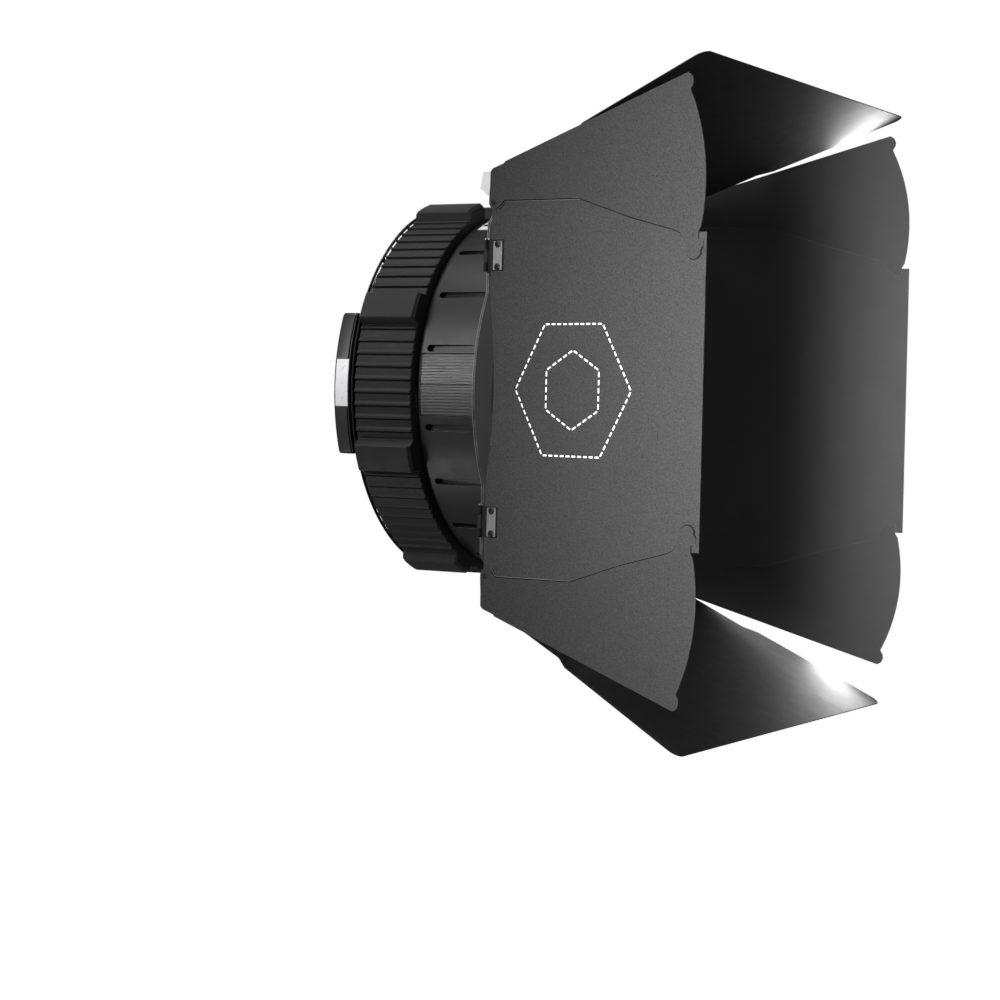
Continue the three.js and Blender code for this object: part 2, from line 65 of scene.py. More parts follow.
MM = 0.001
SIDES = {"left": 0, "top": 90, "right": 180, "bottom": 270}      # turn of each door about Y
ENDS = {"left": ("lower", "upper"), "right": ("upper", "lower"),
        "top": ("left", "right"), "bottom": ("right", "left")}   # hinge at -b, then at +b
FLARES = {"left": 13, "right": 13, "top": 22.2, "bottom": 27.2}  # degrees open at rest
HINGE_SPOT = 151                     # middle of a hinge, along the hinge axis
SHEET = 1.5                          # thickness of the door sheets
SEAM_STRIP_LEVELS = (1.54, 1.76)                 # levels of the painted shade and highlight strips along the seams, just outside the door sheet
PLATE_BACK, PLATE_FRONT = -213.5, -216
FRAME_BORE = 197
DRUM_RADIUS = 217
POCKETS = (12.3, 30.3, 48.3, 66.3)   # degrees above and below the middle of each side


# ---------------------------------------------------------------- camera
CAMERA_PLACE = Vector((-2.5593, -1.5746, -0.0204))
CAMERA_YAW = math.radians(29.7)        # of the optical axis off the picture plane
CAMERA_PITCH = math.radians(0.4)
CAMERA_ROLL = math.radians(1.4)
LENS_MM = 85.07
SHIFT = (-0.0006, -0.0764)


def make_camera():
    data = bpy.data.cameras.new("camera")
    data.lens = LENS_MM
    data.sensor_width = 36
    data.shift_x, data.shift_y = SHIFT
    data.clip_end = 50
    away = Vector((-math.cos(CAMERA_YAW), -math.sin(CAMERA_YAW), 0))
    up = Vector((0, 0, 1))
    back = away * math.cos(CAMERA_PITCH) + up * math.sin(CAMERA_PITCH)
    right = up.cross(away).normalized()
    top = back.cross(right)
    turn = Matrix.Rotation(CAMERA_ROLL, 3, back)
    right, top = turn @ right, turn @ top
    camera = bpy.data.objects.new("camera", data)
    bpy.context.scene.collection.objects.link(camera)
    rotation = Matrix((right, top, back)).transposed().to_4x4()
    camera.matrix_world = Matrix.Translation(CAMERA_PLACE) @ rotation
    bpy.context.scene.camera = camera


# ---------------------------------------------------------------- materials
class Graph:
    """A node tree with short calls for adding nodes and joining them."""

    def __init__(self, tree):
        self.tree = tree

    def add(self, kind, **settings):
        node = self.tree.nodes.new(kind)
        for key, value in settings.items():
            setattr(node, key, value)
        return node

    def join(self, source, target):
        self.tree.links.new(source, target)

    def feed(self, node, values):
        for key, value in values.items():
            if hasattr(value, "is_linked"):
                self.join(value, node.inputs[key])
            else:
                node.inputs[key].default_value = value

    def noise(self, place, scale, detail=3.0, rough=0.6):
        node = self.add("ShaderNodeTexNoise")
        self.feed(node, {"Vector": place, "Scale": scale, "Detail": detail, "Roughness": rough})
        return node.outputs["Fac"]

    def math(self, operation, a, b=0.0, clamp=False):
        node = self.add("ShaderNodeMath", operation=operation, use_clamp=clamp)
        self.feed(node, {0: a, 1: b})
        return node.outputs[0]

    def spread(self, value, low, high, out_low=0.0, out_high=1.0):
        node = self.add("ShaderNodeMapRange")
        self.feed(node, {"Value": value, "From Min": low, "From Max": high,
                         "To Min": out_low, "To Max": out_high})
        return node.outputs[0]

    def mix(self, share, a, b):
        node = self.add("ShaderNodeMix", data_type="RGBA")
        self.feed(node, {0: share, 6: a, 7: b})
        return node.outputs[2]


def grey(value, tint=(1, 1, 1)):
    return (value * tint[0], value * tint[1], value * tint[2], 1)


def finish(name, tone, tint=(1, 1, 1), roughness=0.5, spread=0.08, metallic=0.0, specular=0.5,
           grain=900, depth=0.04, speckle=0.25, mottling=0.2, wear_and_highlight=0.0, wear_and_highlight_tone=0.35,
           stretch=(1, 1, 1), wear_and_highlight_radius=0.8, inward=None, inner_shade_share=0.45):
    """A procedural surface: fine grain, broad mottling, uneven gloss, bump, lighter edges that are
    partly wear and partly painted highlight, and, with inward, painted shade on the inner faces.
    """
    material = bpy.data.materials.new(name)
    material.use_nodes = True
    graph = Graph(material.node_tree)
    shader = material.node_tree.nodes["Principled BSDF"]
    place = graph.add("ShaderNodeTexCoord").outputs["Object"]
    mapping = graph.add("ShaderNodeMapping")
    graph.feed(mapping, {"Vector": place, "Scale": stretch})
    fine = graph.noise(mapping.outputs[0], grain)
    broad = graph.noise(place, 14.0, 4.0)
    smudge = graph.noise(place, 55.0, 5.0)
    tones = graph.math("ADD", graph.spread(fine, 0.3, 0.7, 1 - speckle, 1 + speckle),
                       graph.spread(broad, 0.3, 0.7, -mottling, mottling))
    shade = graph.add("ShaderNodeMix", data_type="RGBA", blend_type="MULTIPLY")
    graph.feed(shade, {0: 1.0, 6: grey(tone, tint), 7: tones})
    colour = shade.outputs[2]
    # painted shade: faces turned inward get the same coat at a lower tone, as if in shade
    if inward:
        facing_in = graph.add("ShaderNodeVectorMath", operation="DOT_PRODUCT")
        graph.join(graph.add("ShaderNodeTexCoord").outputs["Normal"], facing_in.inputs[0])
        facing_in.inputs[1].default_value = inward
        inner_shade = graph.spread(facing_in.outputs["Value"], 0.6, 0.8)
        colour = graph.mix(inner_shade, colour, grey(tone * inner_shade_share, tint))
    uneven = graph.spread(smudge, 0.3, 0.7, roughness - spread, roughness + spread)
    gritty = graph.spread(fine, 0.3, 0.7, -spread / 2, spread / 2)
    gloss = graph.math("ADD", uneven, gritty, clamp=True)
    # edges painted lighter: partly wear, partly painted highlight where edges catch light
    if wear_and_highlight:
        geometry = graph.add("ShaderNodeNewGeometry")
        rounded = graph.add("ShaderNodeBevel", samples=4)
        rounded.inputs["Radius"].default_value = wear_and_highlight_radius * MM
        facing = graph.add("ShaderNodeVectorMath", operation="DOT_PRODUCT")
        graph.join(geometry.outputs["Normal"], facing.inputs[0])
        graph.join(rounded.outputs[0], facing.inputs[1])
        edge = graph.spread(facing.outputs["Value"], 0.99, 0.86)
        rubbed_and_lit = graph.math("MULTIPLY", edge, graph.spread(smudge, 0.4, 0.62, 0.15, 1.0))
        share = graph.math("MULTIPLY", rubbed_and_lit, wear_and_highlight, clamp=True)
        colour = graph.mix(share, colour, grey(wear_and_highlight_tone, tint))
    bump = graph.add("ShaderNodeBump")
    graph.feed(bump, {"Strength": 1.0, "Distance": depth * MM, "Height": fine})
    graph.feed(shader, {"Base Color": colour, "Roughness": gloss, "Metallic": metallic,
                        "Specular IOR Level": specular, "Normal": bump.outputs[0]})
    return material


def glass(name):
    material = finish(name, 0.82, tint=(0.93, 1, 0.97), roughness=0.06, spread=0.03, grain=240,
                      depth=0.02, speckle=0.02, mottling=0.02)
    shader = material.node_tree.nodes["Principled BSDF"]
    shader.inputs["Transmission Weight"].default_value = 0.92
    shader.inputs["IOR"].default_value = 1.49
    return material


def door_coat(name, tone, side):
    """Textured powder coat, made blacker on the face that looks at the beam as painted shade."""
    lean = math.radians(FLARES[side])
    inward = Matrix.Rotation(math.radians(SIDES[side]), 3, "Y") @ Vector(
        (math.cos(lean), -math.sin(lean), 0))
    # lighter sheet edges: partly painted highlight along the seams and rear edges
    return finish(name, tone, roughness=0.72, spread=0.03, specular=0.25, grain=620, depth=0.09,
                  speckle=0.55, mottling=0.03, wear_and_highlight=0.6, wear_and_highlight_tone=0.15, inward=inward)


COATS = {
    "housing_black": finish("housing_paint", 0.018, roughness=0.42, spread=0.04, grain=700,
                            depth=0.02, speckle=0.15, mottling=0.05, wear_and_highlight=0.3, wear_and_highlight_tone=0.09),
    # lighter lug edges: partly painted highlight on the lower chamfers
    "grip_black": finish("grip_moulding", 0.023, roughness=0.55, spread=0.05, grain=1300,
                         depth=0.05, speckle=0.3, mottling=0.06, specular=0.4, wear_and_highlight=0.6,
                         wear_and_highlight_tone=0.12),
    "dark_steel": finish("blackened_steel", 0.012, roughness=0.4, metallic=0.3, grain=400,
                         depth=0.02, wear_and_highlight=0.3, wear_and_highlight_tone=0.15, stretch=(1, 0.15, 1)),
    "hinge_grey": finish("hinge_nickel", 0.30, roughness=0.36, metallic=0.6, grain=500,
                         depth=0.015, speckle=0.12, stretch=(1, 1, 0.1), wear_and_highlight=0.4, wear_and_highlight_tone=0.6),
    "bright_steel": finish("turned_steel", 0.55, roughness=0.28, metallic=1.0, grain=600,
                           depth=0.01, speckle=0.12, stretch=(1, 0.1, 1), wear_and_highlight=0.3, wear_and_highlight_tone=0.8),
    "latch_grey": finish("latch_moulding", 0.8, roughness=0.5, grain=800, depth=0.03,
                         speckle=0.04, mottling=0.04, wear_and_highlight=0.3, wear_and_highlight_tone=0.8),
    "plate_grey": finish("plate_lacquer", 0.88, tint=(1, 0.985, 1.02), roughness=0.42, grain=900,
                         depth=0.015, speckle=0.06, mottling=0.05, wear_and_highlight=0.3, wear_and_highlight_tone=0.7),
    "lens_glass": glass("lens_glass"),
}
# strong pale edges: painted highlight along the frame plate's edges
FRAME_BLACK = finish("frame_paint", 0.012, roughness=0.5, spread=0.04, grain=700, depth=0.03,
                     speckle=0.2, mottling=0.05, wear_and_highlight=1.4, wear_and_highlight_tone=0.5, wear_and_highlight_radius=1.0)
# black leaves and brackets, blacker than the door coat: partly painted shade round the pale pads
HINGE_BLACK_AND_SHADE = finish("hinge_black_and_shade", 0.008, roughness=0.55, specular=0.25, grain=900, depth=0.03,
                     wear_and_highlight=0.15, wear_and_highlight_tone=0.04)
SCREW_BLACK = finish("screw_black", 0.006, roughness=0.22, specular=0.5, grain=500, depth=0.01,
                     wear_and_highlight=0.2, wear_and_highlight_tone=0.2)
DRUM_BLACK = finish("drum_paint", 0.012, roughness=0.4, spread=0.04, grain=900, depth=0.05,
                    speckle=0.12, mottling=0.04, wear_and_highlight=0.3, wear_and_highlight_tone=0.09, stretch=(1, 0.03, 1))
PANEL_BLACK = finish("panel_paint", 0.078, roughness=0.34, spread=0.03, grain=1500, depth=0.01,
                     speckle=0.1, mottling=0.03, wear_and_highlight=0.4, wear_and_highlight_tone=0.16, wear_and_highlight_radius=0.3)
# painted highlight for the frame plate's rear edge
FRAME_HIGHLIGHT_GREY = finish("painted_edge_highlight", 0.24, roughness=0.45, grain=900, depth=0.01, speckle=0.2,
                   mottling=0.1)
# painted highlight for the seams
SEAM_HIGHLIGHT_GREY = finish("seam_painted_highlight", 0.085, roughness=0.6, grain=620, depth=0.05, speckle=0.3)
# painted shade for the seam gaps and behind the pivot gaps
SEAM_SHADE_BLACK = finish("painted_seam_shade", 0.006, roughness=0.9, specular=0.1, grain=2500, depth=0.03)
PRINT_WHITE = finish("print_white", 0.86, roughness=0.6, grain=1500, depth=0.01, speckle=0.05,
                     mottling=0.03)


# ---------------------------------------------------------------- shape helpers
def soften(thing, width=0.35, segments=2, weld=True):
    """Small rounded edges that catch the light."""
    if weld:
        merge = thing.modifiers.new("weld", "WELD")
        merge.merge_threshold = 0.002 * MM
    bevel = thing.modifiers.new("edges", "BEVEL")
    bevel.width = width * MM
    bevel.segments = segments
    bevel.limit_method = "ANGLE"
    bevel.angle_limit = math.radians(32)
    bevel.harden_normals = True


def add_object(name, shape):
    """The working mesh becomes an object in the scene."""
    mesh = bpy.data.meshes.new(name)
    bmesh.ops.recalc_face_normals(shape, faces=shape.faces)
    shape.to_mesh(mesh)
    shape.free()
    thing = bpy.data.objects.new(name, mesh)
    bpy.context.scene.collection.objects.link(thing)
    return thing


def piece(name, shape, body, slot, stands_for=(), smooth=34, edge=0.0, material=None):
    """A mesh in millimetres becomes an object that rides on its body."""
    bmesh.ops.scale(shape, vec=(MM, MM, MM), verts=shape.verts)
    thing = add_object(name, shape)
    mesh = thing.data
    mesh.shade_smooth()
    mesh.set_sharp_from_angle(angle=math.radians(smooth))
    mesh.materials.append(material or COATS[slot])
    if edge:
        soften(thing, edge, weld=False)
    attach(thing, body)
    if stands_for:
        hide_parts(*stands_for)
    return thing


def polar(radius, angle, y):
    """Angle in degrees above the left side, seen along the optical axis."""
    turn = math.radians(angle)
    return Vector((-radius * math.cos(turn), y, radius * math.sin(turn)))


def bridge(shape, here, there):
    """Joins two closed loops of points by a band of faces."""
    for i in range(len(here)):
        shape.faces.new((here[i - 1], here[i], there[i], there[i - 1]))


def sweep(profiles, angles, closed=True):
    """Joins one closed profile of (radius, y) per angle into a ring or a sector with end caps."""
    shape = bmesh.new()
    columns = [[shape.verts.new(polar(radius, angle, y)) for radius, y in profile]
               for profile, angle in zip(profiles, angles)]
    pairs = list(zip(columns, columns[1:] + columns[:1]))
    for here, there in pairs if closed else pairs[:-1]:
        bridge(shape, here, there)
    if not closed:
        shape.faces.new(columns[0])
        shape.faces.new(reversed(columns[-1]))
    return shape


def lathe(profile, segments=192):
    return sweep([profile] * segments, [360 * i / segments for i in range(segments)])


def sector(profile, start, stop, segments=32):
    angles = [start + (stop - start) * i / segments for i in range(segments + 1)]
    return sweep([profile] * len(angles), angles, closed=False)


def prism(outline, low, high, matrix=Matrix()):
    """A flat outline of (a, b) points, reaching from low to high along the third axis."""
    shape = bmesh.new()
    add_prism(shape, outline, low, high, matrix)
    return shape


def add_prism(shape, outline, low, high, matrix=Matrix()):
    add_block(shape, [matrix @ Vector((a, b, low)) for a, b in outline],
              [matrix @ Vector((a, b, high)) for a, b in outline])


def add_block(shape, low_places, high_places):
    floor = [shape.verts.new(place) for place in low_places]
    roof = [shape.verts.new(place) for place in high_places]
    shape.faces.new(reversed(floor))
    shape.faces.new(roof)
    bridge(shape, floor, roof)


def arc(centre, radius, start, stop, steps):
    turns = [math.radians(start + (stop - start) * i / steps) for i in range(steps + 1)]
    return [(centre[0] + radius * math.cos(t), centre[1] + radius * math.sin(t)) for t in turns]


def rounded_box(a0, a1, b0, b1, radius, steps=5):
    corners = ((a1, b1, 0), (a0, b1, 90), (a0, b0, 180), (a1, b0, 270))
    outline = []
    for a, b, turn in corners:
        centre = (a - radius if a == a1 else a + radius, b - radius if b == b1 else b + radius)
        outline += arc(centre, radius, turn, turn + 90, steps)
    return outline


def carve(shape, tools):
    """Cuts the tools out of the shape."""
    base, tool = add_object("work", shape), add_object("work", tools)
    cut = base.modifiers.new("cut", "BOOLEAN")
    cut.operation = "DIFFERENCE"
    cut.solver = "EXACT"
    cut.object = tool
    graph = bpy.context.evaluated_depsgraph_get()
    result = bmesh.new()
    result.from_object(base, graph)
    for thing in (base, tool):
        mesh = thing.data
        bpy.data.objects.remove(thing)
        bpy.data.meshes.remove(mesh)
    return result


def screw(shape, matrix, radius=3.3, height=1.9, socket=1.7):
    """A button head with a hexagon socket, on the local third axis."""
    steps = 24
    rings = [(radius, 0, 0), (radius, 0.35 * height, 0), (0.9 * radius, 0.72 * height, 0),
             (0.68 * radius, height, 0), (1.08 * socket, height, 1), (socket, 0.88 * height, 1),
             (socket, 0.25 * height, 1)]
    loops = []
    for size, level, hexagon in rings:
        loop = []
        for i in range(steps):
            turn = 2 * math.pi * i / steps
            flat = math.cos(math.pi / 6) / math.cos(turn % (math.pi / 3) - math.pi / 6)
            reach = size * (flat if hexagon else 1)
            place = Vector((reach * math.cos(turn), reach * math.sin(turn), level))
            loop.append(shape.verts.new(matrix @ place))
        loops.append(loop)
    for here, there in zip(loops, loops[1:]):
        bridge(shape, here, there)
    shape.faces.new(loops[0])
    shape.faces.new(reversed(loops[-1]))


def door_axes(side, flare):
    """Local axes of a door: forward, along the hinge and outwards."""
    place = joints[f"{side}_door_swing"]["pos_m"]
    reach = max(abs(place[0]), abs(place[2])) / MM
    lean = math.radians(flare)
    forward = Vector((-math.sin(lean), -math.cos(lean), 0))
    outward = Vector((-math.cos(lean), math.sin(lean), 0))
    local = Matrix((forward, Vector((0, 0, 1)), outward)).transposed().to_4x4()
    local.translation = Vector((-reach, place[1] / MM, 0))
    return Matrix.Rotation(math.radians(SIDES[side]), 4, "Y") @ local


# ---------------------------------------------------------------- housing
def grip_profile(radius, lug):
    """Outer wall from the back, with broken corners, then down the bore."""
    back, front = -44.6, -121.9
    chamfer, fall = (3.2, 3.4) if lug else (1.1, 1.0)
    return [(208.6, back), (radius - fall, back), (radius, back - chamfer),
            (radius, front + chamfer), (radius - fall, front), (208.6, front)]


def make_grip():
    """Eight lugs, and between them pads parted by narrow raised ridges."""
    sector_angle, lug_half, offset, count = 45, 5.2, 1.6, 9
    pitch = (sector_angle - 2 * lug_half) / count
    ridge = [(0.0, 226.0), (0.28, 226.2), (0.5, 226.0), (0.52, 225.2), (0.545, 223.9),
             (0.6, 223.9), (0.63, 226.6), (0.655, 227.7), (0.74, 228.0), (0.82, 227.8),
             (0.86, 227.2), (0.97, 226.1)]
    lug = [(-5.2, 225.2), (-4.95, 226.0), (-4.1, 235.9), (-3.75, 238.0), (-1.8, 238.2),
           (0, 238.3), (1.8, 238.2), (3.75, 238.0), (4.0, 236.9), (4.95, 226.2), (5.2, 225.6)]
    profiles, angles = [], []
    for number in range(8):
        centre = offset + sector_angle * (number + 0.5)
        for angle, radius in lug:
            angles.append(centre + angle)
            profiles.append(grip_profile(radius, 1 if radius > 229 else 0))
        for step in range(count):
            for share, radius in ridge:
                if step or share:
                    angles.append(centre + lug_half + pitch * (step + share))
                    profiles.append(grip_profile(radius, 0))
    piece("grip_sleeve", sweep(profiles, angles), "focus_ring", "grip_black", ["grip_ring"],
          smooth=14)


def pocket(shape, angle):
    """A round-ended cutter with a floor that rises towards the front."""
    outline = arc((0, -139.1), 4.1, 0, 180, 10) + arc((0, -193.9), 4.1, 180, 360, 10)
    turn = Matrix.Rotation(math.radians(angle), 4, "Y")
    slope, bottom, top = 0.075, 209.7, 224
    add_block(shape, [turn @ Vector((x, y, bottom + (-135 - y) * slope)) for x, y in outline],
              [turn @ Vector((x, y, top)) for x, y in outline])


def make_drum():
    """The drum with its pockets and panel seats, and a pale grey patch round one pocket."""
    turns = [math.radians(t) for t in range(0, 91, 15)]
    rim = [(DRUM_RADIUS - 3.6 * (1 - math.cos(t)), -130 + 6 * math.sin(t)) for t in turns]
    wall = [(216.4, -210), (DRUM_RADIUS, -209.4), (DRUM_RADIUS, -130.5)] + rim
    shell = wall + [(208.7, -124), (208.7, -178.4), (212.2, -178.6), (212.2, -210)]
    tools = bmesh.new()
    for side in (-90, 90):
        for turn in POCKETS:
            pocket(tools, side - turn)
            pocket(tools, side + turn)
    for turn in (0, 180):
        seat = sector([(214.2, -129.2), (222, -129.2), (222, -203.3), (214.2, -203.3)],
                      -8.8 + turn, 10.8 + turn, 24)
        mesh = bpy.data.meshes.new("seat")
        seat.to_mesh(mesh)
        seat.free()
        tools.from_mesh(mesh)
        bpy.data.meshes.remove(mesh)
    piece("drum_shell", carve(lathe(shell, 240), tools), "housing", "housing_black", ["drum"],
          edge=0.3, material=DRUM_BLACK)
    slot = bmesh.new()
    pocket(slot, POCKETS[-1] - 90)
    # a pale grey patch round one pocket
    patch = sector([(216.7, -134), (217.5, -134), (217.5, -208), (216.7, -208)], 62.4, 70.4, 16)
    piece("pale_pocket_patch", carve(patch, slot), "housing", "latch_grey", edge=0.2, smooth=26)


def make_panels():
    """Fine axial ribs with a wider parting groove in the middle."""
    count, start, stop = 20, -8.5, 10.5
    pitch = (stop - start) / count
    rib = [(0.0, 216.1), (0.16, 216.15), (0.26, 216.9), (0.4, 217.35), (0.62, 217.35),
           (0.78, 216.9), (0.9, 216.15)]
    for name, turn in (("left", 0), ("right", 180)):
        angles, profiles = [], []
        for number in range(count):
            for share, radius in rib:
                if number == count // 2 and share < 0.3:
                    radius -= 0.7
                angles.append(start + turn + pitch * (number + share))
                profiles.append([(214.6, -129.5), (radius - 0.6, -129.5), (radius, -130.1),
                                 (radius, -202.4), (radius - 0.6, -203), (214.6, -203)])
        piece(f"ribbed_insert_{name}", sweep(profiles, angles, closed=False), "housing",
              "housing_black", [f"ribbed_panel_{name}"], smooth=20, material=PANEL_BLACK)


def make_rear():
    """The hoop, the rear shell with its flange, and the index collar with its plate."""
    ring = [(2.3 * math.cos(math.radians(t)), 1.25 * math.sin(math.radians(t)))
            for t in range(0, 360, 30)]
    hoop = lathe([(225.6 + r, -41.25 + y) for r, y in ring], 240)
    bmesh.ops.translate(hoop, vec=(0, 0, 1.2), verts=hoop.verts)
    add_hoop_arms(hoop)
    piece("rear_guard_ring", hoop, "housing", "housing_black", ["rear_hoop"])

    body = [(202.4, -60), (202.4, -44.2), (205.4, -44.2), (206, -43.6), (206, -27), (205.4, -25.8),
            (190.5, -17.2), (189.2, -16.8), (150.6, -9.2), (149.4, -9), (96, -9), (95, -10),
            (95, -13), (148, -13), (186, -21), (200.4, -30), (200.4, -60)]
    piece("rear_shell", lathe(body), "housing", "housing_black", ["rear_housing"], smooth=20)

    mount = [(112, -8.7), (112, -0.8), (111.2, 0), (104, 0), (103.4, -0.6), (98.6, -0.6), (98, 0),
             (79, 0), (77.6, -0.4), (66.4, -2.6), (66, -3.2), (66, -8.7)]
    piece("mount_flange", lathe(mount), "housing", "bright_steel", ["rear_mount_ring"], smooth=20)

    collar = [(206.4, -38.4), (206.4, -18.1), (229.2, -18.1), (230.6, -18.9), (231.2, -20.3),
              (231.2, -35.6), (230.8, -36.4), (229.6, -36.7), (229.6, -37.3), (230.6, -37.6),
              (230.6, -38.4)]
    start, stop, rounding, steps = -20.8, 22.8, 1.7, 80
    angles = [start + (stop - start) * i / steps for i in range(steps + 1)]
    block = sweep([round_end(collar, min(angle - start, stop - angle) / rounding)
                   for angle in angles], angles, closed=False)
    seat = sector([(230, -20.4), (234, -20.4), (234, -39), (230, -39)], -6.2, 8.2, 20)
    piece("index_block", carve(block, seat), "housing", "housing_black", ["index_collar"],
          edge=1.0, smooth=26)
    plate = sector([(229.9, -20.9), (231.7, -20.9), (231.7, -38.2), (229.9, -38.2)], -5.9, 7.9, 20)
    piece("index_scale", plate, "housing", "plate_grey", ["index_plate"], edge=0.35, smooth=26)
    marks = bmesh.new()
    for angle, mark in ((5.4, "arrow"), (1.2, "dot"), (-3.2, "arrow")):
        here = Matrix.Rotation(math.radians(angle), 4, "Y")
        face = Matrix(((0, 0, -1, -231.6), (1, 0, 0, -30), (0, 1, 0, 0), (0, 0, 0, 1)))
        if mark == "dot":
            outline = arc((0, 0), 1.3, 0, 342, 19)
        else:
            outline = arc((0, 0), 3.0, -90, 150, 2)
        add_prism(marks, outline, 0, 0.32, here @ face)
    piece("index_marks", marks, "housing", "plate_grey", material=PRINT_WHITE, edge=0.1)


def round_end(profile, share):
    """Pulls the outer wall in near the end of a sector; share is 0 at the end, 1 further in."""
    drop = 6 * (1 - math.sqrt(max(0, 1 - (1 - min(share, 1)) ** 2)))
    return [(radius - drop if radius > 215 else radius, y) for radius, y in profile]


def add_hoop_arms(shape):
    for angle in (25, 97, 169, 241, 313):
        turn = Matrix.Rotation(math.radians(angle), 4, "Y")
        place = turn @ Matrix.Translation((0, -41.2, 0))
        add_prism(shape, [(-2.6, -0.9), (2.6, -0.9), (2.6, 0.9), (-2.6, 0.9)], 206.1, 226.4, place)


def make_lens():
    """Flat back, bulged middle and fine stepped rings on the front face."""
    profile = [(0, -159), (188.8, -159), (190, -160), (190, -170.2), (189, -171.2)]
    pitch = 4.4
    steps = 37
    for number in range(steps):
        outer = 186.8 - pitch * number
        tilt = 2.9 * outer / 186.8
        profile += [(outer, -171.3), (outer - pitch + 0.25, -171.3 - tilt)]
    edge = profile[-1][0]
    for number in range(1, 7):
        share = number / 6
        profile.append((edge * (1 - share), -172.2 - 5.2 * math.sin(share * math.pi / 2)))
    segments = 160
    shape = bmesh.new()
    axis = [shape.verts.new((0, profile[0][1], 0)), shape.verts.new((0, profile[-1][1], 0))]
    rings = [[shape.verts.new(polar(radius, 360 * i / segments, y)) for i in range(segments)]
             for radius, y in profile[1:-1]]
    for here, there in zip(rings, rings[1:]):
        bridge(shape, here, there)
    for tip, loop in zip(axis, (rings[0], rings[-1])):
        for i in range(segments):
            shape.faces.new((tip, loop[i - 1], loop[i]))
    piece("stepped_lens", shape, "carriage", "lens_glass", ["fresnel_lens"], smooth=12)


def make_frame():
    """The frame plate with its spigot, the front bezel behind it and the lens retainer."""
    bulge, half, corner = 240, 213.4, 190
    spread = math.degrees(math.acos(half / bulge))
    outline = []
    for turn in (0, 90, 180, 270):
        outline += arc((0, 0), bulge, turn - spread, turn + spread, 28)
        rotate = Matrix.Rotation(math.radians(turn), 2)
        outline += [tuple(rotate @ Vector(p)) for p in ((half, corner), (corner, half))]
    across = Matrix(((1, 0, 0, 0), (0, 0, 1, 0), (0, 1, 0, 0), (0, 0, 0, 1)))
    plate = prism(outline, PLATE_FRONT, PLATE_BACK, across)
    bore = bmesh.new()
    add_prism(bore, arc((0, 0), FRAME_BORE, 0, 357.5, 143), -220, -210, across)
    piece("frame_plate", carve(plate, bore), "door_frame", "housing_black", ["door_frame"],
          edge=0.5, material=FRAME_BLACK)
    # painted highlight along the plate's rear edge
    add_painted_edge_highlight(outline, across)
    collar = [(196, -216), (196.6, -216.5), (199.4, -216.5), (200, -216), (200, -213.4),
              (202.2, -213.4), (202.2, -201.4), (201.8, -201), (198, -201), (197.4, -201.6),
              (197.4, -212.5), (196, -213)]
    piece("frame_spigot", lathe(collar), "door_frame", "dark_steel", smooth=20)
    bezel = [(211.6, -209.5), (211.6, -179.2), (190.6, -179.2), (190, -179.8), (190, -184.4),
             (190.6, -185), (203.2, -185), (203.2, -209), (203.8, -209.5)]
    piece("bezel_ring", lathe(bezel), "housing", "housing_black", ["front_bezel"], smooth=20)
    retainer = [(183.4, -175.6), (192.4, -175.6), (192.8, -175.2), (192.8, -173.6),
                (192.4, -173.3), (183.4, -173.3), (183, -173.7), (183, -175.2)]
    piece("retainer_ring", lathe(retainer), "carriage", "housing_black", ["lens_retainer"],
          smooth=20)


def add_painted_edge_highlight(outline, matrix):
    """A pale strip along the rear edge of the frame plate: a painted highlight on its broken
    corner.
    """
    shape = bmesh.new()
    loops = [[shape.verts.new(matrix @ Vector((a * share, b * share, level))) for a, b in outline]
             for share, level in ((1, -213.6), (1, -213.1), (0.993, -213.1), (0.993, -213.6))]
    for here, there in zip(loops, loops[1:] + loops[:1]):
        bridge(shape, here, there)
    piece("frame_painted_highlight", shape, "door_frame", "housing_black", material=FRAME_HIGHLIGHT_GREY)


def make_screws():
    """Screws of the rear shell, the lens retainer and the hinge brackets."""
    foot_row = 197                   # bracket screws, from the optical axis
    def facing(radius, angle, y, direction):
        place = Matrix.Translation(polar(radius, angle, y))
        return place @ Vector((0, direction, 0)).to_track_quat("Z", "Y").to_matrix().to_4x4()
    rear = bmesh.new()
    for number in range(6):
        screw(rear, facing(128, 60 * number, -9.05, 1), 3.6, 2.0, 1.9)
    piece("shell_screws", rear, "housing", "dark_steel")
    retainer = bmesh.new()
    for number in range(6):
        screw(retainer, facing(187.9, 60 * number, -175.55, -1), 2.4, 1.0, 1.2)
    piece("retainer_screws", retainer, "carriage", "dark_steel")
    brackets = bmesh.new()
    for side in SIDES:
        axes = door_axes(side, 0)
        reach = abs(axes.translation.x) + abs(axes.translation.z)
        for spot in (-HINGE_SPOT, HINGE_SPOT):
            for along in (-12.5, 12.5):
                here = Matrix.Translation((-6.15, spot + along, foot_row - reach))
                turn = Vector((1, 0, 0)).to_track_quat("Z", "Y").to_matrix().to_4x4()
                screw(brackets, axes @ here @ turn, 2.8, 1.6, 1.4)
    piece("bracket_screws", brackets, "door_frame", "dark_steel")


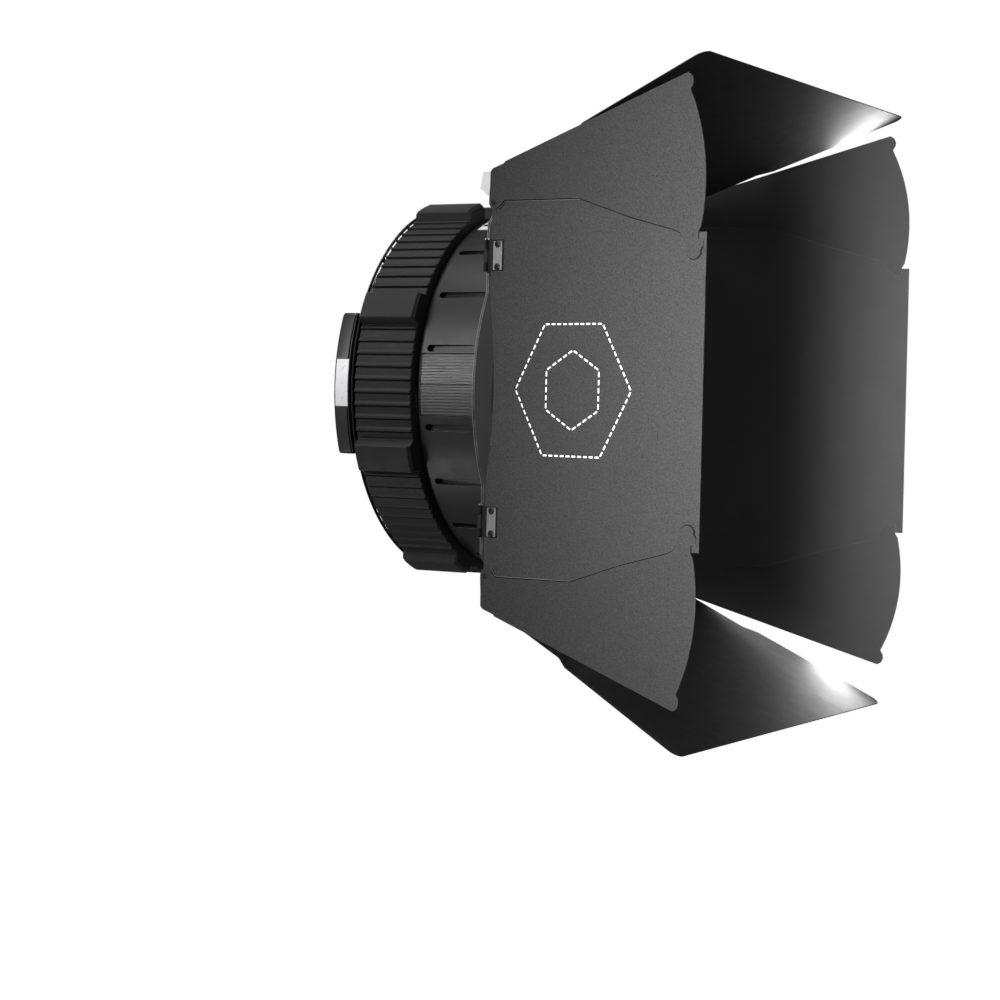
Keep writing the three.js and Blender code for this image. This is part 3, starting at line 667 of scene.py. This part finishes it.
# ---------------------------------------------------------------- doors
def make_hinge_covers():
    """A pale pad with two black screws on each hinge."""
    pad_back, pad_front, pad_half, screw_row, screw_spread = 11.4, 24.4, 16.4, 18.2, 13
    for side in SIDES:
        axes = door_axes(side, FLARES[side])
        for sign, end in zip((-1, 1), ENDS[side]):
            middle = sign * HINGE_SPOT
            outline = rounded_box(pad_back, pad_front, middle - pad_half, middle + pad_half, 1.4)
            cover = prism(outline, 0.6, 1.1, axes)
            piece(f"{side}_hinge_cover_{end}", cover, f"{side}_door", "hinge_grey", edge=0.12)
            heads = bmesh.new()
            for along in (-screw_spread, screw_spread):
                here = axes @ Matrix.Translation((screw_row, middle + along, 1.05))
                screw(heads, here, 4.2, 1.7, 1.9)
            piece(f"{side}_hinge_screws_{end}", heads, f"{side}_door", "dark_steel",
                  material=SCREW_BLACK)


def offset(line, distance):
    """Moves an open line of (a, b) points sideways, to its right for a positive distance."""
    moved = []
    for i, (a, b) in enumerate(line):
        before, after = line[max(i - 1, 0)], line[min(i + 1, len(line) - 1)]
        runs = [Vector((a - before[0], b - before[1])), Vector((after[0] - a, after[1] - b))]
        runs = [run.normalized() for run in runs if run.length > 1e-6]
        across = sum((Vector((run.y, -run.x)) for run in runs), Vector((0, 0))).normalized()
        stretch = min(1 / max(across.dot(Vector((runs[0].y, -runs[0].x))), 0.5), 1.6)
        moved.append((a + across.x * distance * stretch, b + across.y * distance * stretch))
    return moved


def make_liners():
    """Black strips along the wing seams as painted shade, pale strips beside them as painted
    highlight, and black backings behind the wing pivots as painted shade seen through the gaps.
    """
    seam = ([(20.5, 206.4), (25.5, 211.6), (29, 213.2), (139.4, 211), (210.3, 188.4), (274, 172),
             (281, 169), (286.5, 163), (289.4, 156)] + arc((300.4, 150.4), 10.2, 172, 335, 12)
            + [(308.8, 149.6), (312.4, 153.4)])
    # painted shade: a black strip along the seam
    dark = offset(seam, 1.2) + list(reversed(offset(seam, -1.6)))
    # painted highlight: a pale strip along the first part of the seam
    pale = offset(seam[:4], 1.8) + list(reversed(offset(seam[:4], 1.2)))
    for side in ("left", "right"):
        axes = door_axes(side, FLARES[side])
        for sign, end in zip((-1, 1), ENDS[side]):
            seam_shade = prism([(a, sign * b) for a, b in dark], *SEAM_STRIP_LEVELS, axes)
            piece(f"{side}_wing_seam_shade_{end}", seam_shade, f"{side}_wing_{end}", "dark_steel",
                  material=SEAM_SHADE_BLACK)
            highlight_strip = prism([(a, sign * b) for a, b in pale], *SEAM_STRIP_LEVELS, axes)
            piece(f"{side}_wing_seam_highlight_{end}", highlight_strip, f"{side}_wing_{end}", "wing_coat",
                  material=SEAM_HIGHLIGHT_GREY)
            # painted shade: a black backing seen through the gap at the pivot
            near, far = sorted((sign * 199, sign * 217))
            backing = rounded_box(14.5, 33, near, far, 3)
            piece(f"{side}_pivot_shade_backing_{end}", prism(backing, -0.3, -0.04, axes),
                  f"{side}_door", "dark_steel", material=SEAM_SHADE_BLACK)


def make_print():
    """Two nested dashed hexagons printed on the near door."""
    axes = door_axes("left", FLARES["left"])
    dashes = bmesh.new()
    for radius, lean in ((84, 0), (44, 30)):
        corners = arc((135, 0), radius, lean, lean + 360, 6)
        for (a0, b0), (a1, b1) in zip(corners, corners[1:]):
            start, run = Vector((a0, b0)), Vector((a1 - a0, b1 - b0))
            count = round(run.length / 8.6)
            unit = run.normalized()
            across = Vector((-unit.y, unit.x)) * 0.95
            for number in range(count):
                first = start + run * ((number + 0.18) / count)
                last = start + run * ((number + 0.82) / count)
                outline = [first - across, last - across, last + across, first + across]
                add_prism(dashes, [tuple(p) for p in outline], SHEET - 0.02, SHEET + 0.07, axes)
    piece("door_print", dashes, "left_door", "plate_grey", material=PRINT_WHITE)


def dress_nodes():
    """Rounded edges and procedural finishes on the CAD nodes that stay visible."""
    slots = {part["node"]: part["material_slot"] for part in frame["record"]["subparts"]}
    sheets = {}
    for side in SIDES:
        sheets[side, "door"] = door_coat(f"{side}_door_coat", 0.028, side)
        sheets[side, "wing"] = door_coat(f"{side}_wing_coat", 0.025, side)
    for name, node in nodes.items():
        if node.hide_render:
            continue
        side, _, rest = name.partition("_")
        kind = {"door": "door", "wing_upper": "wing", "wing_lower": "wing"}.get(rest)
        coat = sheets[side, kind] if kind else COATS[slots[name]]
        # hinge leaves and brackets: black metal, partly painted shade round the pads
        if "_hinge_leaf_" in name or "_bracket" in name:
            coat = HINGE_BLACK_AND_SHADE
        node.data.materials.clear()
        node.data.materials.append(coat)
        soften(node, 0.3)


# ---------------------------------------------------------------- studio
FLOOR_Z = -1.25
AMBIENT = 0.16                        # of the white surroundings, as the object sees them


def make_stage():
    """A pale floor, and surroundings that look white but light the object only a little."""
    material = finish("floor_paper", 0.9, roughness=0.85, grain=30, depth=0.05, speckle=0.01,
                      mottling=0.01)
    glow = material.node_tree.nodes["Principled BSDF"].inputs
    glow["Emission Color"].default_value = (1, 1, 1, 1)
    glow["Emission Strength"].default_value = 0.85
    shape = bmesh.new()
    add_prism(shape, [(-9, -9), (9, -9), (9, 9), (-9, 9)], FLOOR_Z - 0.02, FLOOR_Z)
    floor = add_object("floor", shape)
    floor.data.materials.append(material)
    floor.visible_diffuse = False
    floor.visible_glossy = False

    world = bpy.data.worlds.new("studio")
    bpy.context.scene.world = world
    world.use_nodes = True
    graph = Graph(world.node_tree)
    background = world.node_tree.nodes["Background"]
    background.inputs["Color"].default_value = (1, 1, 1, 1)
    seen = graph.add("ShaderNodeLightPath").outputs["Is Camera Ray"]
    graph.join(graph.spread(seen, 0, 1, AMBIENT, 1), background.inputs["Strength"])


def add_light(name, kind, place, target, power, **settings):
    data = bpy.data.lights.new(name, kind)
    data.energy = power
    for key, value in settings.items():
        setattr(data, key, value)
    light = bpy.data.objects.new(name, data)
    light.visible_camera = False
    bpy.context.scene.collection.objects.link(light)
    aim = (Vector(target) - Vector(place)).to_track_quat("-Z", "Y").to_matrix().to_4x4()
    light.matrix_world = Matrix.Translation(place) @ aim
    return light


def reach_only(light, things, block=False):
    """The light reaches only these things; with block, only they cast its shadows."""
    group = bpy.data.collections.new(light.name)
    for thing in things:
        group.objects.link(thing)
    light.light_linking.receiver_collection = group
    if block:
        light.light_linking.blocker_collection = group


def riding(*bodies):
    """All meshes that ride on these bodies."""
    return [thing for thing in bpy.context.scene.objects
            if thing.type == "MESH" and thing.get("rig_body") in bodies]


def add_box(name, place, target, power, wide, high):
    return add_light(name, "AREA", place, target, power, shape="RECTANGLE", size=wide,
                     size_y=high)


def make_lights():
    """Soft boxes all round, and linked lights for the uneven light on the doors."""
    right_leaves = ("right_door", "right_wing_upper", "right_wing_lower")
    left_leaves = ("left_door", "left_wing_upper", "left_wing_lower")
    for end, level, power in (("upper", 0.22, 1040), ("lower", -0.2, 820)):
        kicker = add_light(f"front_kicker_{end}", "SPOT", (-2.16, -0.96, level),
                           (-0.2, -0.85, level * 0.8), power, spot_size=math.radians(29),
                           spot_blend=1.0, shadow_soft_size=0.45)
        reach_only(kicker, riding(*left_leaves, *right_leaves))
    fill = add_box("far_door_fill", (-1.2, -2.2, 0), (0.25, -0.35, 0), 18, 0.6, 0.6)
    reach_only(fill, riding(*right_leaves))
    for side, sign, power, edge, below in (("top", 1, 0.6, 300, 7), ("bottom", -1, 0.62, 306, 17)):
        axes = door_axes(side, FLARES[side])
        graze = add_box(f"{side}_graze", axes @ Vector((250, sign * edge, -below)) * MM,
                        axes @ Vector((240, sign * (edge - 60), 0)) * MM, power, 0.16, 0.02)
        reach_only(graze, [nodes[f"{side}_door"]], block=True)
    drum_box = add_box("drum_box", (-2.3, 1.3, 0.4), (-0.2, -0.15, 0), 17, 0.45, 0.12)
    reach_only(drum_box, riding("housing", "mount_lock", "door_frame", "latch"))
    front_box = add_box("front_box", (0.7, -2.6, 0.9), (0, -0.2, 0), 55, 1.2, 0.9)
    reach_only(front_box, riding("housing", "door_frame", "carriage"))
    for name, place, target, power, wide, high in (
            ("side_box", (-2.2, 0.9, 1.1), (-0.2, -0.1, 0), 16, 1.4, 0.9),
            ("top_box", (-0.9, 0.2, 2.3), (-0.1, -0.1, 0), 26, 1.2, 0.8),
            ("back_box", (1.7, 2.4, 1.0), (0.1, -0.1, 0), 55, 1.2, 1.2),
            ("right_box", (2.5, 0.5, 0.3), (0.2, -0.2, 0), 60, 1.4, 0.9),
            ("low_box", (-0.9, 0.7, -1.1), (-0.2, -0.15, 0), 2, 0.5, 0.3)):
        add_box(name, place, target, power, wide, high)


make_camera()
make_grip()
make_drum()
make_panels()
make_rear()
make_lens()
make_frame()
make_screws()
make_hinge_covers()
make_liners()
make_print()
dress_nodes()
make_stage()
make_lights()
bpy.context.scene.view_settings.view_transform = "Standard"
